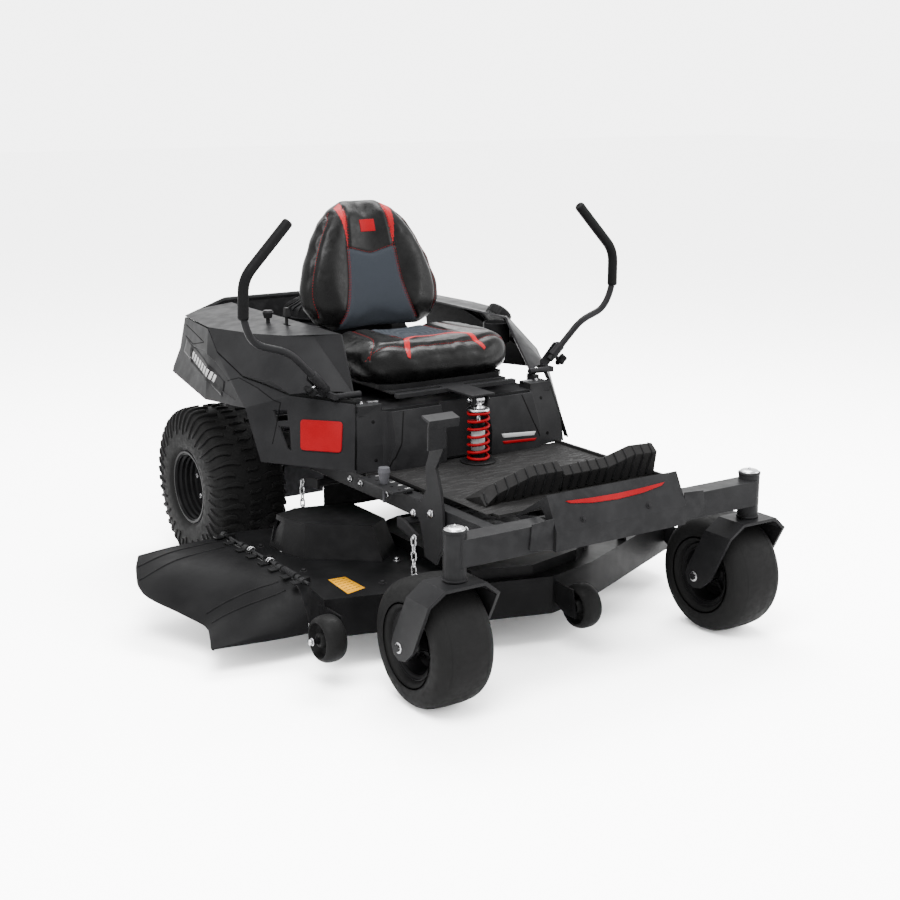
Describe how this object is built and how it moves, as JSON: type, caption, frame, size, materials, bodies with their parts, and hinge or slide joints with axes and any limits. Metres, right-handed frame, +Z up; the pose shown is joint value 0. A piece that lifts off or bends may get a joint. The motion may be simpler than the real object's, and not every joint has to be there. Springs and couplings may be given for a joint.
{
  "type": "zero turn mower",
  "caption": "Zero turn riding mower with a sprung seat, lap bar steering levers, swivelling front casters, driven rear wheels and a belly deck with side discharge chute.",
  "frame": {"origin": "on the ground, under the middle of the bounding box", "axes": "-Y forward, +X to the operator's left, +Z up"},
  "size_m": [1.599, 1.752, 1.15],
  "materials": {
    "accent_red": "gloss red",
    "body_panel": "satin charcoal moulding",
    "bright_metal": "zinc plated",
    "cast_metal": "cast",
    "chute_plastic": "matt moulding",
    "deck_paint": "satin powder coat",
    "floor_mat": "ribbed mat and matt paint",
    "frame_paint": "satin powder coat",
    "gauge_rubber": "matt",
    "grip_rubber": "soft moulded grip",
    "knob_plastic": "grey moulding",
    "rim_paint": "gloss black",
    "seat_vinyl": "soft grained vinyl",
    "tyre": "matt, moulded tread"
  },
  "bodies": {
    "chassis": {"front_axle_beam": "frame_paint", "frame_rail_left": "frame_paint", "frame_rail_right": "frame_paint", "bumper_plate": "frame_paint", "rear_hitch_plate": "frame_paint", "engine_guard": "frame_paint", "floor_pan": "floor_mat", "toe_rest_left": "floor_mat", "toe_rest_right": "floor_mat", "side_fender_left": "body_panel", "side_fender_right": "body_panel", "upper_shell_left": "body_panel", "upper_shell_right": "body_panel", "seat_tower": "body_panel", "engine_block": "cast_metal", "engine_shroud": "body_panel", "muffler": "cast_metal", "transaxle_left": "cast_metal", "transaxle_right": "cast_metal", "damper_body": "rim_paint", "coil_spring": "accent_red", "height_plate": "frame_paint"},
    "caster_left": {"caster_fork_left": "frame_paint"},
    "caster_wheel_left": {"front_tyre_left": "tyre", "front_rim_left": "rim_paint"},
    "drive_wheel_left": {"rear_tyre_left": "tyre", "rear_rim_left": "rim_paint"},
    "lever_mount_left": {"lever_bracket_left": "frame_paint"},
    "lever_left": {"lever_tube_left": "frame_paint", "lever_grip_left": "grip_rubber"},
    "caster_right": {"caster_fork_right": "frame_paint"},
    "caster_wheel_right": {"front_tyre_right": "tyre", "front_rim_right": "rim_paint"},
    "drive_wheel_right": {"rear_tyre_right": "tyre", "rear_rim_right": "rim_paint"},
    "lever_mount_right": {"lever_bracket_right": "frame_paint"},
    "lever_right": {"lever_tube_right": "frame_paint", "lever_grip_right": "grip_rubber"},
    "seat_carriage": {"seat_platform": "frame_paint", "damper_rod": "bright_metal"},
    "seat": {"seat_pan": "chute_plastic", "seat_cushion": "seat_vinyl", "seat_back": "seat_vinyl"},
    "deck": {"deck_shell": "deck_paint", "belt_cover_left": "chute_plastic", "belt_cover_right": "chute_plastic"},
    "blade_right": {"blade_spindle_right": "cast_metal"},
    "blade_centre": {"blade_spindle_centre": "cast_metal"},
    "blade_left": {"blade_spindle_left": "cast_metal"},
    "gauge_centre": {"gauge_wheel_centre": "gauge_rubber"},
    "gauge_right": {"gauge_wheel_right": "gauge_rubber"},
    "gauge_left": {"gauge_wheel_left": "gauge_rubber"},
    "chute": {"discharge_chute": "chute_plastic"},
    "lift_front": {"lift_shaft_front": "frame_paint"},
    "lift_rear": {"lift_shaft_rear": "frame_paint"},
    "pedal": {"lift_pedal": "frame_paint"},
    "height_stop": {"height_pin": "knob_plastic"},
    "filler_cap": {"fuel_cap": "chute_plastic"},
    "throttle": {"throttle_lever": "chute_plastic"},
    "blade_clutch": {"pto_knob": "frame_paint"}
  },
  "joints": [
    {"name": "caster_swivel_left", "type": "hinge", "parent": "chassis", "child": "caster_left", "pos_m": [0.6035, -0.802, 0.41], "axis": [0, 0, 1], "continuous": true},
    {"name": "caster_wheel_spin_left", "type": "hinge", "parent": "caster_left", "child": "caster_wheel_left", "pos_m": [0.6035, -0.711, 0.165], "axis": [1, 0, 0], "continuous": true},
    {"name": "drive_wheel_spin_left", "type": "hinge", "parent": "chassis", "child": "drive_wheel_left", "pos_m": [0.5535, 0.622, 0.254], "axis": [1, 0, 0], "continuous": true},
    {"name": "lever_drive_left", "type": "hinge", "parent": "chassis", "child": "lever_mount_left", "pos_m": [0.4635, -0.045, 0.644], "axis": [1, 0, 0], "range_deg": [-9, 14]},
    {"name": "lever_park_left", "type": "hinge", "parent": "lever_mount_left", "child": "lever_left", "pos_m": [0.5255, -0.017, 0.674], "axis": [0, -1, 0], "range_deg": [0, 24]},
    {"name": "caster_swivel_right", "type": "hinge", "parent": "chassis", "child": "caster_right", "pos_m": [-0.3565, -0.802, 0.41], "axis": [0, 0, 1], "continuous": true},
    {"name": "caster_wheel_spin_right", "type": "hinge", "parent": "caster_right", "child": "caster_wheel_right", "pos_m": [-0.3565, -0.711, 0.165], "axis": [1, 0, 0], "continuous": true},
    {"name": "drive_wheel_spin_right", "type": "hinge", "parent": "chassis", "child": "drive_wheel_right", "pos_m": [-0.3065, 0.622, 0.254], "axis": [1, 0, 0], "continuous": true},
    {"name": "lever_drive_right", "type": "hinge", "parent": "chassis", "child": "lever_mount_right", "pos_m": [-0.2165, -0.045, 0.644], "axis": [1, 0, 0], "range_deg": [-9, 14]},
    {"name": "lever_park_right", "type": "hinge", "parent": "lever_mount_right", "child": "lever_right", "pos_m": [-0.2785, -0.017, 0.674], "axis": [0, 1, 0], "range_deg": [0, 24]},
    {"name": "seat_ride", "type": "slide", "parent": "chassis", "child": "seat_carriage", "axis": [0, 0, 1], "range_m": [-0.024, 0], "stiffness_N_per_m": 26000, "springref_m": 0.03, "deforming": ["coil_spring"]},
    {"name": "seat_slide", "type": "slide", "parent": "seat_carriage", "child": "seat", "axis": [0, 1, 0], "range_m": [-0.05, 0.035]},
    {"name": "deck_lift", "type": "slide", "parent": "chassis", "child": "deck", "axis": [0, 0, 1], "range_m": [-0.06, 0]},
    {"name": "blade_spin_right", "type": "hinge", "parent": "deck", "child": "blade_right", "pos_m": [-0.2685, -0.062, 0.18], "axis": [0, 0, 1], "continuous": true},
    {"name": "blade_spin_centre", "type": "hinge", "parent": "deck", "child": "blade_centre", "pos_m": [0.1335, -0.232, 0.18], "axis": [0, 0, 1], "continuous": true},
    {"name": "blade_spin_left", "type": "hinge", "parent": "deck", "child": "blade_left", "pos_m": [0.5355, -0.032, 0.18], "axis": [0, 0, 1], "continuous": true},
    {"name": "gauge_spin_centre", "type": "hinge", "parent": "deck", "child": "gauge_centre", "pos_m": [0.1535, -0.652, 0.132], "axis": [1, 0, 0], "continuous": true},
    {"name": "gauge_spin_right", "type": "hinge", "parent": "deck", "child": "gauge_right", "pos_m": [-0.5315, -0.487, 0.132], "axis": [1, 0, 0], "continuous": true},
    {"name": "gauge_spin_left", "type": "hinge", "parent": "deck", "child": "gauge_left", "pos_m": [0.7595, -0.414, 0.132], "axis": [1, 0, 0], "continuous": true},
    {"name": "chute_lift", "type": "hinge", "parent": "deck", "child": "chute", "pos_m": [-0.4805, -0.042, 0.212], "axis": [0, 1, 0], "range_deg": [0, 84]},
    {"name": "lift_front_turn", "type": "hinge", "parent": "chassis", "child": "lift_front", "pos_m": [0.1235, -0.35, 0.352], "axis": [1, 0, 0], "range_deg": [0, 50]},
    {"name": "lift_rear_turn", "type": "hinge", "parent": "chassis", "child": "lift_rear", "pos_m": [0.1235, 0.123, 0.352], "axis": [1, 0, 0], "range_deg": [-54, 0]},
    {"name": "pedal_turn", "type": "hinge", "parent": "chassis", "child": "pedal", "pos_m": [-0.2165, -0.472, 0.4], "axis": [1, 0, 0], "range_deg": [-26, 0]},
    {"name": "height_pin_lift", "type": "slide", "parent": "chassis", "child": "height_stop", "axis": [0, 0, 1], "range_m": [0, 0.03]},
    {"name": "fuel_cap_turn", "type": "hinge", "parent": "chassis", "child": "filler_cap", "pos_m": [0.5105, 0.258, 0.761], "axis": [0.6442, 0, 0.7648], "range_deg": [0, 90]},
    {"name": "throttle_swing", "type": "hinge", "parent": "chassis", "child": "throttle", "pos_m": [-0.2065, 0.328, 0.77], "axis": [1, 0, 0], "range_deg": [-18, 18]},
    {"name": "blade_clutch_pull", "type": "slide", "parent": "chassis", "child": "blade_clutch", "axis": [0, 0, 1], "range_m": [0, 0.012]}
  ],
  "couplings": [
    {"joint": "blade_spin_right", "follows": "blade_spin_centre", "ratio": 1},
    {"joint": "blade_spin_left", "follows": "blade_spin_centre", "ratio": 1},
    {"joint": "lift_front_turn", "follows": "deck_lift", "rad_per_m": -14.3},
    {"joint": "lift_rear_turn", "follows": "deck_lift", "rad_per_m": 15.4},
    {"joint": "pedal_turn", "follows": "deck_lift", "rad_per_m": 7.3}
  ]
}
